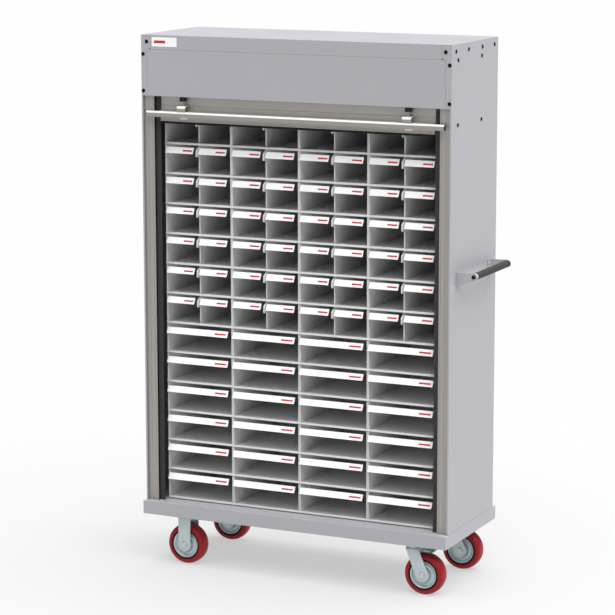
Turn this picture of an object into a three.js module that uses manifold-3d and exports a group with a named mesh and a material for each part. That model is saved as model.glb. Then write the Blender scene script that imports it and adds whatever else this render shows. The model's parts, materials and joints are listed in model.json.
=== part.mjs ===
// Unit-dose medication cart: a sheet-steel cabinet on four castors, with a roller shutter that
// pulls down over 56 small and 24 large open compartments, and a push handle on its right side.
// Millimetres, +Z up. X runs across the front, to the right; the front faces -Y. Z = 0 is the floor.

import * as THREE from 'three';
import { mergeVertices } from 'three/addons/utils/BufferGeometryUtils.js';
import Module from 'manifold-3d';

const wasm = await Module();
wasm.setup();

// ---------- driving dimensions ----------

const BODY_WIDTH = 1050;
const BODY_DEPTH = 380;
const BODY_HEIGHT = 1500;
const CASTOR_HEIGHT = 161.5; // floor to the underside of the base
const SKIRT_HEIGHT = 41.5;
const BASE_OVERHANG_SIDE = 1.5;
const BASE_OVERHANG_FRONT = 20;
const SHEET = 1.2; // cabinet steel
const BASE_SHEET = 1.5;
const GAP = 0.3; // between pieces that rest on each other
const CUT_MARGIN = 1; // how far a cutter runs past what it cuts

const BASE_TOP = CASTOR_HEIGHT + SKIRT_HEIGHT;
const ROOF_TOP = BASE_TOP + BODY_HEIGHT;
const HALF_WIDTH = BODY_WIDTH / 2;
const HALF_DEPTH = BODY_DEPTH / 2;
const INNER_HALF_WIDTH = HALF_WIDTH - SHEET - GAP; // what fits between the side sheets
const BACK_FACE = HALF_DEPTH - 0.1;
const BACK_INNER = BACK_FACE - SHEET;
const REAR_FLANGE_BACK = BACK_INNER - GAP;
const INNER_BACK = REAR_FLANGE_BACK - SHEET - GAP; // what fits in front of the rear flanges

// front of the cabinet, above the opening
const HEADER_BOTTOM = BASE_TOP + 1309;
const ROOF_FLANGE = 44.8;
const ROOF_FLANGE_BOTTOM = ROOF_TOP - ROOF_FLANGE;
const FRONT_FLANGE = 20;
const FRONT_RETURN = 5.5; // beside the shutter guides
const CORNER_TAB = 33;
const CORNER_TAB_RADIUS = 8;
const HEADER_RETURN = 12;
const REAR_FLANGE = 16;
const CHANNEL_WIDTH = 120;
const CHANNEL_END_GAP = 12;

// guides, brush strips and curtain
const GUIDE_FACE = 38.5;
const GUIDE_FRONT = -182.4;
const GUIDE_BACK = -155;
const GUIDE_WALL = 2;
const BRUSH_INNER = 466.5;
const BRUSH_FRONT = -172;
const BRUSH_BACK = -169.3;
const BRUSH_HOLDER_WIDTH = 15;
const BRUSH_END_GAP = 1;
const LEAF_COUNT = 7;
const LEAF_THICKNESS = 1;
const LEAF_PITCH = 1.5;
const LEAF_HALF_WIDTH = 490;
const LEAF_TOP_GAP = 6;
const LEAF_OVERLAP = 4;
const LEAF_TUCK = 5; // from the bottom of the pull rail up to the lowest leaf
const CURTAIN_FRONT = -168.7;

// bottom bar, pull rail and stops
const BAR_BOTTOM = BASE_TOP + 1230;
const BAR_HALF_WIDTH = 465;
const BAR_HEIGHT = 33;
const BAR_LIP = 6;
const SEAL_HEIGHT = 7.5;
const SEAL_INSET = 0.8; // from each face of the bar's lip
const SEAL_BOTTOM = BAR_BOTTOM - GAP - SEAL_HEIGHT;
const FLOOR_CLEARANCE = 3;
const SHUTTER_TRAVEL = SEAL_BOTTOM - BASE_TOP - FLOOR_CLEARANCE;
const RAIL_HALF_LENGTH = 507;
const RAIL_BOTTOM = BAR_BOTTOM + 14.5;
const RAIL_HEIGHT = 18;
const RAIL_DEPTH = 9.5;
const RAIL_GAP = 1;
const STOP_X = 382.2;
const STOP_WIDTH = 30;
const STOP_LEDGE_DEPTH = 24;
const STOP_SHEET = 2;
const STOP_LEDGE_TOP = BASE_TOP + 1280;
const BUFFER_RADIUS = 11;
const BUFFER_LENGTH = 11;
const BUFFER_STUD_RADIUS = 4;
const BUFFER_SETBACK = 19; // from the rail's front to the middle of the buffer
const BUFFER_CLEARANCE = 0.5;

// roller inside the header
const DRUM_Y = -44;
const DRUM_Z = BASE_TOP + 1353;
const DRUM_RADIUS = 50;
const DRUM_WALL = 3;
const DRUM_HALF_LENGTH = 480;
const DRUM_END = 4;
const SHAFT_RADIUS = 12.5;
const RUNNING_GAP = 0.8;
const BRACKET_SHEET = 2.5;
const BRACKET_GAP = 0.5;
const BRACKET_FRONT = -150;
const BRACKET_BACK = 62;
const BRACKET_BOTTOM = BASE_TOP + 1254;
const BRACKET_TOP = BASE_TOP + 1452;
const SPRING_RADIUS = 19;
const SPRING_WIRE = 2;
const SPRING_TURNS = 9;
const SPRING_PITCH = 22;
const BOX_FLOOR_Z = BASE_TOP + 1250;
const BOX_FLOOR_SIDE_GAP = 4;

// compartments
const COLUMNS = 4;
const COLUMN_WIDTH = 234.5;
const ROW_HEIGHT = 96;
const LARGE_ROWS = 6; // the rows from the base up that have no divider
const LOWER_ROWS = 8; // rows in the lower stack of each column
const UPPER_ROWS = 5;
const BIN_WALL = 4;
const BIN_FLOOR = 4;
const BIN_DIVIDER = 4.5;
const BIN_FRONT = -143.5;
const DIVIDER_FRONT = -135.2;

// push handle, on the right side
const HANDLE_X = 583;
const HANDLE_Z = BASE_TOP + 800;
const HANDLE_HALF_SPAN = 140;
const HANDLE_SHEET = 3;
const HANDLE_FLANGE = 25;
const HANDLE_BAR_RADIUS = 8;
const BAR_PROUD = 2;
const GRIP_RADIUS = 11;
const GRIP_END_GAP = 1;
const ARM_ROOT_BOTTOM = -35;
const ARM_ROOT_TOP = 10.5;
const ARM_END_RADIUS = 11.5;

// castors
const TRACK_Y = 156;
const RIGID_X = -391;
const SWIVEL_X = 403;
const TRAIL = 36;
const WHEEL_RADIUS = 65;
const TYRE_INNER = 44;
// half of the tread's section: radius, and distance from the wheel's middle plane
const TREAD = [[WHEEL_RADIUS, 6], [63.7, 16], [61.5, 20], [55, 24]];
const HUB_RADIUS = TYRE_INNER - GAP;
const HUB_RIM = 22.5;
const HUB_BOSS = 26.5;
const HUB_WEB = 15;
const HUB_BOSS_RADIUS = 15;
const HUB_DISH_INNER = 19;
const HUB_DISH_OUTER = 35;
const AXLE_RADIUS = 6;
const AXLE_HEAD = 5;
const AXLE_HEAD_RADIUS = 9.5;
const FORK_INNER = 27.5;
const FORK_SHEET = 3;
const LEG_HALF_WIDTH = 21.5;
const PLATE_LENGTH = 110;
const PLATE_WIDTH = 90;
const PLATE_THICKNESS = 3;
const RACE_RADIUS = 27;
const RACE_HEIGHT = 5;
const CROWN_THICKNESS = 6;
const KINGPIN_RADIUS = 7;
const KINGPIN_NUT_RADIUS = 12;
const KINGPIN_NUT_HEIGHT = 6;
const PEDAL_FROM_KINGPIN = 26; // to the pedal's pivot
const PEDAL_BELOW_CROWN = 9;
const PEDAL_HALF_WIDTH = 15;
const PEDAL_KNUCKLE = 4;
const PEDAL_REACH = 43;
const PEDAL_TOE = [3, 8]; // heights of the toe's two edges above the pivot
const WHEEL_SIDES = 30;
const ROUND_SIDES = 20;
const SMALL_ROUND_SIDES = 16;
const HEX_SIDES = 6;

// ---------- materials ----------

const finish = (color, roughness, metalness) => () =>
  new THREE.MeshStandardMaterial({ color, roughness, metalness });
const PAINT = finish(0xb4b3b8, 0.5, 0.1);
const ROOF_PAINT = finish(0xd2d2d5, 0.5, 0.1);
const GUIDE_ALUMINIUM = finish(0x9e9994, 0.45, 0.5);
const BRIGHT_ALUMINIUM = finish(0xd8d6d2, 0.3, 0.8);
const BRUSH = finish(0x303030, 0.9, 0);
const SEAL_RUBBER = finish(0x1c1c1c, 0.7, 0);
const BIN_PLASTIC = finish(0xcfcfcf, 0.45, 0);
const GRIP_FOAM = finish(0x4b4b4b, 0.85, 0);
const ZINC = finish(0xa9b4b6, 0.35, 0.8);
const STEEL = finish(0x8f9396, 0.35, 0.9);
const TYRE_RED = finish(0x9b2c30, 0.5, 0);
const PEDAL_GREEN = finish(0x5a8f68, 0.5, 0);

// ---------- geometry helpers ----------

const cart = new THREE.Group();

function addPiece(name, geometry, material, parent = cart) {
  const piece = new THREE.Mesh(geometry, material());
  piece.name = name;
  parent.add(piece);
  return piece;
}

// a box given by its low and high corners
function block(x0, x1, y0, y1, z0, z1) {
  const geometry = new THREE.BoxGeometry(x1 - x0, y1 - y0, z1 - z0);
  return geometry.translate((x0 + x1) / 2, (y0 + y1) / 2, (z0 + z1) / 2);
}

function toSolid(geometry) {
  const bare = geometry.clone();
  bare.deleteAttribute('normal');
  bare.deleteAttribute('uv');
  const merged = mergeVertices(bare, 1e-4);
  const vertProperties = new Float32Array(merged.attributes.position.array);
  const triVerts = new Uint32Array(merged.index.array);
  return new wasm.Manifold(new wasm.Mesh({ numProp: 3, vertProperties, triVerts }));
}

function fromSolid(solid) {
  const mesh = solid.getMesh();
  const geometry = new THREE.BufferGeometry();
  geometry.setAttribute('position', new THREE.BufferAttribute(mesh.vertProperties, 3));
  geometry.setIndex(new THREE.BufferAttribute(mesh.triVerts, 1));
  return geometry;
}

function joinAll(...geometries) {
  return fromSolid(geometries.map(toSolid).reduce((whole, next) => whole.add(next)));
}

function cutFrom(geometry, ...cutters) {
  return fromSolid(cutters.map(toSolid).reduce((whole, next) => whole.subtract(next), toSolid(geometry)));
}

// a plan outline (x, y) raised from z0 to z1
function raise(points, z0, z1) {
  const shape = new THREE.Shape(points.map(([x, y]) => new THREE.Vector2(x, y)));
  const geometry = new THREE.ExtrudeGeometry(shape, { depth: z1 - z0, bevelEnabled: false });
  return geometry.translate(0, 0, z0);
}

// a front-view shape (x, z) carried back from y0 to y1
function carryBack(shape, y0, y1, curveSegments = 8) {
  const geometry = new THREE.ExtrudeGeometry(shape, { depth: y1 - y0, bevelEnabled: false, curveSegments });
  return geometry.rotateX(Math.PI / 2).translate(0, y1, 0);
}

// a side-view shape (y, z) carried across from x0 to x1
function carryAcross(shape, x0, x1, curveSegments = 8) {
  const geometry = new THREE.ExtrudeGeometry(shape, { depth: x1 - x0, bevelEnabled: false, curveSegments });
  return geometry.rotateX(Math.PI / 2).rotateZ(Math.PI / 2).translate(x0, 0, 0);
}

// a cylinder between two stations on an axis through (a, b), the other two coordinates in order
function rod(axis, from, to, radius, a, b, sides = ROUND_SIDES) {
  const geometry = new THREE.CylinderGeometry(radius, radius, to - from, sides);
  const middle = (from + to) / 2;
  if (axis === 'x') return geometry.rotateZ(-Math.PI / 2).translate(middle, a, b);
  if (axis === 'y') return geometry.translate(a, middle, b);
  return geometry.rotateX(Math.PI / 2).translate(a, b, middle);
}

// a closed ring turned about the Y axis from (radius, y) points
function turned(points, sides) {
  const closed = [...points, points[0]].map(([radius, y]) => new THREE.Vector2(radius, y));
  return new THREE.LatheGeometry(closed, sides);
}

function mirrored(geometry) {
  const flipped = geometry.index ? geometry.toNonIndexed() : geometry.clone();
  const position = flipped.attributes.position;
  for (let corner = 0; corner < position.count; corner += 3) {
    const triangle = [0, 2, 1].map((offset) => [
      -position.getX(corner + offset), position.getY(corner + offset), position.getZ(corner + offset)]);
    triangle.forEach(([x, y, z], offset) => position.setXYZ(corner + offset, x, y, z));
  }
  return flipped;
}

const SIDES = [['left', mirrored], ['right', (geometry) => geometry]];

// ---------- cabinet shell ----------

function makeSidePanel() {
  const outer = HALF_WIDTH;
  const inner = HALF_WIDTH - SHEET;
  const front = -HALF_DEPTH;
  const top = ROOF_TOP;
  const tabTop = top - SHEET - GAP;
  const sheet = block(inner, outer, front, BACK_FACE, BASE_TOP + GAP, top);
  const flange = block(outer - FRONT_FLANGE, inner, front, front + SHEET, HEADER_BOTTOM, tabTop);
  const frontReturn = block(outer - FRONT_RETURN, inner, front, front + SHEET, BASE_TOP + GAP, HEADER_BOTTOM);
  const tab = new THREE.Shape();
  tab.moveTo(outer - SHEET, ROOF_FLANGE_BOTTOM);
  tab.lineTo(outer - SHEET, tabTop);
  tab.lineTo(outer - CORNER_TAB, tabTop);
  tab.lineTo(outer - CORNER_TAB, ROOF_FLANGE_BOTTOM + CORNER_TAB_RADIUS);
  tab.absarc(outer - CORNER_TAB + CORNER_TAB_RADIUS, ROOF_FLANGE_BOTTOM + CORNER_TAB_RADIUS,
    CORNER_TAB_RADIUS, Math.PI, 1.5 * Math.PI);
  const rearFlange = block(outer - REAR_FLANGE, inner, REAR_FLANGE_BACK - SHEET, REAR_FLANGE_BACK,
    BASE_TOP + GAP, ROOF_FLANGE_BOTTOM - GAP);
  return joinAll(sheet, flange, frontReturn, carryBack(tab, front, front + SHEET), rearFlange);
}

function makeRoof() {
  const flangeTop = ROOF_TOP - SHEET;
  const rear = REAR_FLANGE_BACK;
  const top = block(-INNER_HALF_WIDTH, INNER_HALF_WIDTH, -HALF_DEPTH, HALF_DEPTH, flangeTop, ROOF_TOP);
  const frontHalf = HALF_WIDTH - CORNER_TAB - GAP;
  const front = block(-frontHalf, frontHalf, -HALF_DEPTH, -HALF_DEPTH + SHEET, ROOF_FLANGE_BOTTOM, flangeTop);
  const back = block(-INNER_HALF_WIDTH, INNER_HALF_WIDTH, rear - SHEET, rear, ROOF_FLANGE_BOTTOM, flangeTop);
  const side = block(INNER_HALF_WIDTH - SHEET, INNER_HALF_WIDTH, -HALF_DEPTH + SHEET + GAP, rear,
    ROOF_FLANGE_BOTTOM, flangeTop);
  return joinAll(top, front, back, side, mirrored(side));
}

function makeHeaderCover() {
  const half = HALF_WIDTH - FRONT_FLANGE - GAP;
  const face = block(-half, half, -HALF_DEPTH, -HALF_DEPTH + SHEET, HEADER_BOTTOM, ROOF_FLANGE_BOTTOM - GAP);
  const underside = block(-half, half, -HALF_DEPTH, -HALF_DEPTH + HEADER_RETURN, HEADER_BOTTOM,
    HEADER_BOTTOM + SHEET);
  return joinAll(face, underside);
}

function makeBaseTray() {
  const halfWidth = HALF_WIDTH + BASE_OVERHANG_SIDE;
  const halfDepth = HALF_DEPTH + BASE_OVERHANG_FRONT;
  const tray = block(-halfWidth, halfWidth, -halfDepth, halfDepth, CASTOR_HEIGHT, BASE_TOP);
  const hollow = block(-halfWidth + BASE_SHEET, halfWidth - BASE_SHEET, -halfDepth + BASE_SHEET,
    halfDepth - BASE_SHEET, CASTOR_HEIGHT - CUT_MARGIN, BASE_TOP - BASE_SHEET);
  // two welded channels stiffen the tray and carry the castor plates
  const channelHalfDepth = halfDepth - CHANNEL_END_GAP;
  const channels = [RIGID_X, SWIVEL_X].map((x) => {
    const low = x - CHANNEL_WIDTH / 2;
    const high = x + CHANNEL_WIDTH / 2;
    const outside = block(low, high, -channelHalfDepth, channelHalfDepth, CASTOR_HEIGHT, BASE_TOP);
    const inside = block(low + BASE_SHEET, high - BASE_SHEET, -halfDepth, halfDepth,
      CASTOR_HEIGHT + BASE_SHEET, BASE_TOP - BASE_SHEET);
    return cutFrom(outside, inside);
  });
  return joinAll(cutFrom(tray, hollow), ...channels);
}

addPiece('base_tray', makeBaseTray(), PAINT);
for (const [side, place] of SIDES) addPiece(`${side}_side_panel`, place(makeSidePanel()), PAINT);
addPiece('back_panel', block(-INNER_HALF_WIDTH, INNER_HALF_WIDTH, BACK_INNER, BACK_FACE, BASE_TOP + GAP,
  ROOF_TOP - SHEET - GAP), PAINT);
addPiece('roof_panel', makeRoof(), ROOF_PAINT);
addPiece('header_cover', makeHeaderCover(), PAINT);

const boxFloorHalf = INNER_HALF_WIDTH - BOX_FLOOR_SIDE_GAP;
addPiece('shutter_box_floor', block(-boxFloorHalf, boxFloorHalf, GUIDE_BACK + GAP, INNER_BACK,
  BOX_FLOOR_Z, BOX_FLOOR_Z + SHEET), PAINT);

// ---------- shutter guides ----------

function makeGuide() {
  const outer = INNER_HALF_WIDTH;
  const inner = outer - GUIDE_FACE;
  const outline = [
    [outer, GUIDE_FRONT], [outer, GUIDE_BACK], [inner, GUIDE_BACK], [inner, GUIDE_BACK - GUIDE_WALL],
    [outer - GUIDE_WALL, GUIDE_BACK - GUIDE_WALL], [outer - GUIDE_WALL, GUIDE_FRONT + GUIDE_WALL],
    [inner, GUIDE_FRONT + GUIDE_WALL], [inner, GUIDE_FRONT],
  ];
  return raise(outline, BASE_TOP + GAP, HEADER_BOTTOM - GAP);
}

// a holder that stands behind the guide's face, with the pile along its inner edge
function makeBrushStrip() {
  const holderInner = INNER_HALF_WIDTH - GUIDE_FACE;
  const holderOuter = holderInner + BRUSH_HOLDER_WIDTH;
  const holderFront = GUIDE_FRONT + GUIDE_WALL + GAP;
  const outline = [
    [BRUSH_INNER, BRUSH_FRONT], [holderInner, BRUSH_FRONT], [holderInner, holderFront],
    [holderOuter, holderFront], [holderOuter, BRUSH_BACK], [BRUSH_INNER, BRUSH_BACK],
  ];
  return raise(outline, BASE_TOP + BRUSH_END_GAP, HEADER_BOTTOM - BRUSH_END_GAP);
}

for (const [side, place] of SIDES) {
  addPiece(`${side}_guide_rail`, place(makeGuide()), GUIDE_ALUMINIUM);
  addPiece(`${side}_brush_strip`, place(makeBrushStrip()), BRUSH);
}

// ---------- roller: shaft, drum, spring and end brackets ----------

function makeDrum() {
  const bore = SHAFT_RADIUS + RUNNING_GAP;
  const inside = DRUM_RADIUS - DRUM_WALL;
  const end = DRUM_HALF_LENGTH;
  const plug = end - DRUM_END;
  const profile = [[bore, -end], [DRUM_RADIUS, -end], [DRUM_RADIUS, end], [bore, end],
    [bore, plug], [inside, plug], [inside, -plug], [bore, -plug]];
  return turned(profile, WHEEL_SIDES).rotateZ(-Math.PI / 2).translate(0, DRUM_Y, DRUM_Z);
}

class Helix extends THREE.Curve {
  getPoint(t, target = new THREE.Vector3()) {
    const turn = t * SPRING_TURNS;
    const angle = turn * 2 * Math.PI;
    return target.set(turn * SPRING_PITCH, SPRING_RADIUS * Math.cos(angle), SPRING_RADIUS * Math.sin(angle));
  }
}

function makeSpring() {
  const wire = new THREE.Shape();
  wire.absarc(0, 0, SPRING_WIRE, 0, 2 * Math.PI);
  const options = { steps: SPRING_TURNS * 8, extrudePath: new Helix(), curveSegments: 3 };
  const geometry = new THREE.ExtrudeGeometry(wire, options);
  return geometry.translate(-SPRING_TURNS * SPRING_PITCH / 2, DRUM_Y, DRUM_Z);
}

function makeDrumBracket() {
  const outer = HALF_WIDTH - SHEET - BRACKET_GAP;
  const plate = block(outer - BRACKET_SHEET, outer, BRACKET_FRONT, BRACKET_BACK, BRACKET_BOTTOM, BRACKET_TOP);
  const hole = rod('x', outer - BRACKET_SHEET - CUT_MARGIN, outer + CUT_MARGIN, SHAFT_RADIUS + GAP, DRUM_Y,
    DRUM_Z);
  return cutFrom(plate, hole);
}

addPiece('shutter_shaft', rod('x', -INNER_HALF_WIDTH, INNER_HALF_WIDTH, SHAFT_RADIUS, DRUM_Y, DRUM_Z), STEEL);
addPiece('shutter_drum', makeDrum(), ZINC);
addPiece('shutter_spring', makeSpring(), STEEL);
for (const [side, place] of SIDES) addPiece(`${side}_drum_bracket`, place(makeDrumBracket()), ZINC);

// ---------- curtain, bottom bar, pull rail and stops ----------

// The curtain is cut into flat leaves that hang one behind another while the shutter is up and
// draw out one after another as it comes down.
const leafStep = SHUTTER_TRAVEL / LEAF_COUNT;
const leafTop = ROOF_TOP - LEAF_TOP_GAP;
for (let leaf = 0; leaf < LEAF_COUNT; leaf += 1) {
  const front = CURTAIN_FRONT + leaf * LEAF_PITCH;
  const bottom = leaf === 0 ? RAIL_BOTTOM + LEAF_TUCK : leafTop - leafStep - LEAF_OVERLAP;
  addPiece(`curtain_leaf_${leaf + 1}`, block(-LEAF_HALF_WIDTH, LEAF_HALF_WIDTH, front,
    front + LEAF_THICKNESS, bottom, leafTop), GUIDE_ALUMINIUM);
}

const railBack = -HALF_DEPTH - RAIL_GAP;
const railFront = railBack - RAIL_DEPTH;

function makeBottomBar() {
  const back = CURTAIN_FRONT - GAP;
  const beam = block(-BAR_HALF_WIDTH, BAR_HALF_WIDTH, railBack + GAP, back, RAIL_BOTTOM,
    BAR_BOTTOM + BAR_HEIGHT);
  const lip = block(-BAR_HALF_WIDTH, BAR_HALF_WIDTH, back - BAR_LIP, back, BAR_BOTTOM, RAIL_BOTTOM);
  return joinAll(beam, lip);
}

function makeBottomSeal() {
  const back = CURTAIN_FRONT - GAP - SEAL_INSET;
  const front = CURTAIN_FRONT - GAP - BAR_LIP + SEAL_INSET;
  return block(-BAR_HALF_WIDTH, BAR_HALF_WIDTH, front, back, SEAL_BOTTOM, BAR_BOTTOM - GAP);
}

function makePullRail() {
  const radius = RAIL_HEIGHT / 4;
  const top = RAIL_BOTTOM + RAIL_HEIGHT;
  const section = new THREE.Shape();
  section.moveTo(railBack, RAIL_BOTTOM);
  section.lineTo(railBack, top);
  section.lineTo(railFront + radius, top);
  section.absarc(railFront + radius, top - radius, radius, Math.PI / 2, Math.PI);
  section.lineTo(railFront, RAIL_BOTTOM + radius);
  section.absarc(railFront + radius, RAIL_BOTTOM + radius, radius, Math.PI, 1.5 * Math.PI);
  return carryAcross(section, -RAIL_HALF_LENGTH, RAIL_HALF_LENGTH, 5);
}

function makeStop() {
  const low = STOP_X - STOP_WIDTH / 2;
  const high = STOP_X + STOP_WIDTH / 2;
  const footTop = RAIL_BOTTOM + RAIL_HEIGHT + GAP;
  const bufferY = railFront + BUFFER_SETBACK;
  const bufferTop = HEADER_BOTTOM - BUFFER_CLEARANCE;
  const face = block(low, high, railFront, railFront + STOP_SHEET, footTop, STOP_LEDGE_TOP);
  const ledge = block(low, high, railFront, railFront + STOP_LEDGE_DEPTH, STOP_LEDGE_TOP - STOP_SHEET,
    STOP_LEDGE_TOP);
  const stud = rod('z', STOP_LEDGE_TOP - STOP_SHEET, bufferTop, BUFFER_STUD_RADIUS, STOP_X, bufferY,
    SMALL_ROUND_SIDES);
  const buffer = rod('z', bufferTop - BUFFER_LENGTH, bufferTop, BUFFER_RADIUS, STOP_X, bufferY);
  return joinAll(face, ledge, stud, buffer);
}

addPiece('bottom_bar', makeBottomBar(), GUIDE_ALUMINIUM);
addPiece('bottom_seal', makeBottomSeal(), SEAL_RUBBER);
addPiece('pull_rail', makePullRail(), BRIGHT_ALUMINIUM);
for (const [side, place] of SIDES) addPiece(`${side}_stop`, place(makeStop()), BRIGHT_ALUMINIUM);

// ---------- compartments ----------

// A stack of trays, each open at the front and with the next tray's floor over it. The cabinet's
// back panel closes them behind. From row firstDivided up, each tray has a divider up its middle,
// whose front edge stands back from the wall fronts.
function makeBinStack(rows, firstDivided) {
  const half = COLUMN_WIDTH / 2 - GAP / 2;
  const inner = half - BIN_WALL;
  const front = BIN_FRONT - CUT_MARGIN;
  const back = INNER_BACK + CUT_MARGIN;
  const spaces = [];
  for (let row = 0; row < rows; row += 1) {
    const bottom = row * ROW_HEIGHT + BIN_FLOOR;
    const top = (row + 1) * ROW_HEIGHT;
    if (row < firstDivided) {
      spaces.push(block(-inner, inner, front, back, bottom, top));
    } else {
      spaces.push(block(-inner, -BIN_DIVIDER / 2, front, back, bottom, top));
      spaces.push(block(BIN_DIVIDER / 2, inner, front, back, bottom, top));
      spaces.push(block(-inner, inner, front, DIVIDER_FRONT, bottom, top));
    }
  }
  return cutFrom(block(-half, half, BIN_FRONT, INNER_BACK, 0, rows * ROW_HEIGHT - GAP), ...spaces);
}

for (let column = 0; column < COLUMNS; column += 1) {
  const x = (column - (COLUMNS - 1) / 2) * COLUMN_WIDTH;
  const lower = addPiece(`lower_bin_stack_${column + 1}`, makeBinStack(LOWER_ROWS, LARGE_ROWS), BIN_PLASTIC);
  const upper = addPiece(`upper_bin_stack_${column + 1}`, makeBinStack(UPPER_ROWS, 0), BIN_PLASTIC);
  lower.position.set(x, 0, BASE_TOP + GAP);
  upper.position.set(x, 0, BASE_TOP + GAP + LOWER_ROWS * ROW_HEIGHT);
}

// ---------- push handle ----------

function makeHandleBracket() {
  const root = HALF_WIDTH + GAP;
  const outerFace = -HANDLE_HALF_SPAN - HANDLE_SHEET;
  const lean = Math.atan2(-ARM_ROOT_BOTTOM - ARM_END_RADIUS, HANDLE_X - root);
  const arm = new THREE.Shape();
  arm.absarc(HANDLE_X, HANDLE_Z, ARM_END_RADIUS, lean - Math.PI / 2, Math.PI / 2);
  arm.lineTo(root, HANDLE_Z + ARM_ROOT_TOP);
  arm.lineTo(root, HANDLE_Z + ARM_ROOT_BOTTOM);
  arm.closePath();
  const flange = block(root, root + HANDLE_SHEET, outerFace, outerFace + HANDLE_FLANGE,
    HANDLE_Z + ARM_ROOT_BOTTOM, HANDLE_Z + ARM_ROOT_TOP);
  const hole = rod('y', outerFace - CUT_MARGIN, outerFace + HANDLE_SHEET + CUT_MARGIN,
    HANDLE_BAR_RADIUS + GAP, HANDLE_X, HANDLE_Z);
  return cutFrom(joinAll(carryBack(arm, outerFace, outerFace + HANDLE_SHEET), flange), hole);
}

function mirroredInDepth(geometry) {
  return mirrored(geometry).rotateZ(Math.PI);
}

const gripHalf = HANDLE_HALF_SPAN - GRIP_END_GAP;
const barHalf = HANDLE_HALF_SPAN + HANDLE_SHEET + BAR_PROUD;
addPiece('handle_front_bracket', makeHandleBracket(), PAINT);
addPiece('handle_rear_bracket', mirroredInDepth(makeHandleBracket()), PAINT);
addPiece('handle_bar', rod('y', -barHalf, barHalf, HANDLE_BAR_RADIUS, HANDLE_X, HANDLE_Z), STEEL);
addPiece('handle_grip', turned([[HANDLE_BAR_RADIUS + GAP, -gripHalf], [GRIP_RADIUS, -gripHalf],
  [GRIP_RADIUS, gripHalf], [HANDLE_BAR_RADIUS + GAP, gripHalf]], ROUND_SIDES)
  .translate(HANDLE_X, 0, HANDLE_Z), GRIP_FOAM);

// ---------- castors ----------
// Each castor is made about its wheel centre, with the wheel rolling along X.

const plateTop = CASTOR_HEIGHT - GAP - WHEEL_RADIUS;
const plateBottom = plateTop - PLATE_THICKNESS;
const forkOuter = FORK_INNER + FORK_SHEET;

function makeTyre() {
  const half = [...TREAD, [TYRE_INNER, TREAD.at(-1)[1]]];
  const front = half.map(([radius, depth]) => [radius, -depth]).reverse();
  return turned([...front, ...half], WHEEL_SIDES);
}

function makeHub() {
  const bore = AXLE_RADIUS + GAP;
  return turned([[bore, -HUB_BOSS], [HUB_BOSS_RADIUS, -HUB_BOSS], [HUB_DISH_INNER, -HUB_WEB],
    [HUB_DISH_OUTER, -HUB_WEB], [HUB_RADIUS, -HUB_RIM], [HUB_RADIUS, HUB_RIM], [HUB_DISH_OUTER, HUB_WEB],
    [HUB_DISH_INNER, HUB_WEB], [HUB_BOSS_RADIUS, HUB_BOSS], [bore, HUB_BOSS]], WHEEL_SIDES);
}

function makeAxle() {
  const head = forkOuter + GAP;
  const shank = rod('y', -head, head, AXLE_RADIUS, 0, 0, SMALL_ROUND_SIDES);
  const heads = [-head - AXLE_HEAD, head].map((from) =>
    rod('y', from, from + AXLE_HEAD, AXLE_HEAD_RADIUS, 0, 0, HEX_SIDES));
  return joinAll(shank, ...heads);
}

// one fork leg, leaning from above the pivot down to the axle
function makeLeg(topX, top) {
  const lean = Math.atan2(topX, top);
  const leg = new THREE.Shape();
  leg.absarc(0, 0, LEG_HALF_WIDTH, Math.PI - lean, 2 * Math.PI - lean);
  leg.lineTo(topX + LEG_HALF_WIDTH, top);
  leg.lineTo(topX - LEG_HALF_WIDTH, top);
  leg.closePath();
  return carryBack(leg, FORK_INNER, forkOuter);
}

function makeFork(topX, top, crown) {
  const leg = makeLeg(topX, top);
  const web = block(topX - LEG_HALF_WIDTH, topX + LEG_HALF_WIDTH, -forkOuter, forkOuter,
    top - FORK_SHEET, top);
  const hole = rod('y', -forkOuter - CUT_MARGIN, forkOuter + CUT_MARGIN, AXLE_RADIUS + GAP, 0, 0,
    SMALL_ROUND_SIDES);
  return joinAll(cutFrom(joinAll(leg, mirroredInDepth(leg), web), hole), crown);
}

function makePlate() {
  return block(-PLATE_LENGTH / 2, PLATE_LENGTH / 2, -PLATE_WIDTH / 2, PLATE_WIDTH / 2, plateBottom, plateTop);
}

function makeRigidFork() {
  return makeFork(0, plateTop, makePlate());
}

const raceBottom = plateBottom - RACE_HEIGHT;
const crownTop = raceBottom - GAP;
const crownBottom = crownTop - CROWN_THICKNESS;

function makeSwivelPlate() {
  const race = rod('z', raceBottom, plateTop, RACE_RADIUS, 0, 0);
  const nutBottom = crownBottom - KINGPIN_NUT_HEIGHT;
  const kingpin = rod('z', nutBottom, plateTop, KINGPIN_RADIUS, 0, 0);
  const nut = rod('z', nutBottom, crownBottom - GAP, KINGPIN_NUT_RADIUS, 0, 0, HEX_SIDES);
  return joinAll(makePlate(), race, kingpin, nut).translate(-TRAIL, 0, 0);
}

function makeSwivelFork() {
  const crown = rod('z', crownBottom, crownTop, RACE_RADIUS, -TRAIL, 0);
  const bore = rod('z', crownBottom - CUT_MARGIN, crownTop + CUT_MARGIN, KINGPIN_RADIUS + GAP, -TRAIL, 0);
  return cutFrom(makeFork(-TRAIL, crownTop, crown), bore);
}

function makeBrakePedal() {
  const pivotX = PEDAL_FROM_KINGPIN - TRAIL;
  const pivotZ = crownBottom - PEDAL_BELOW_CROWN;
  const [toeBottom, toeTop] = PEDAL_TOE;
  const lever = new THREE.Shape();
  lever.absarc(pivotX, pivotZ, PEDAL_KNUCKLE, Math.PI / 2, 1.5 * Math.PI);
  lever.lineTo(pivotX + PEDAL_REACH, pivotZ + toeBottom);
  lever.lineTo(pivotX + PEDAL_REACH, pivotZ + toeTop);
  lever.closePath();
  return carryBack(lever, -PEDAL_HALF_WIDTH, PEDAL_HALF_WIDTH);
}

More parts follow.
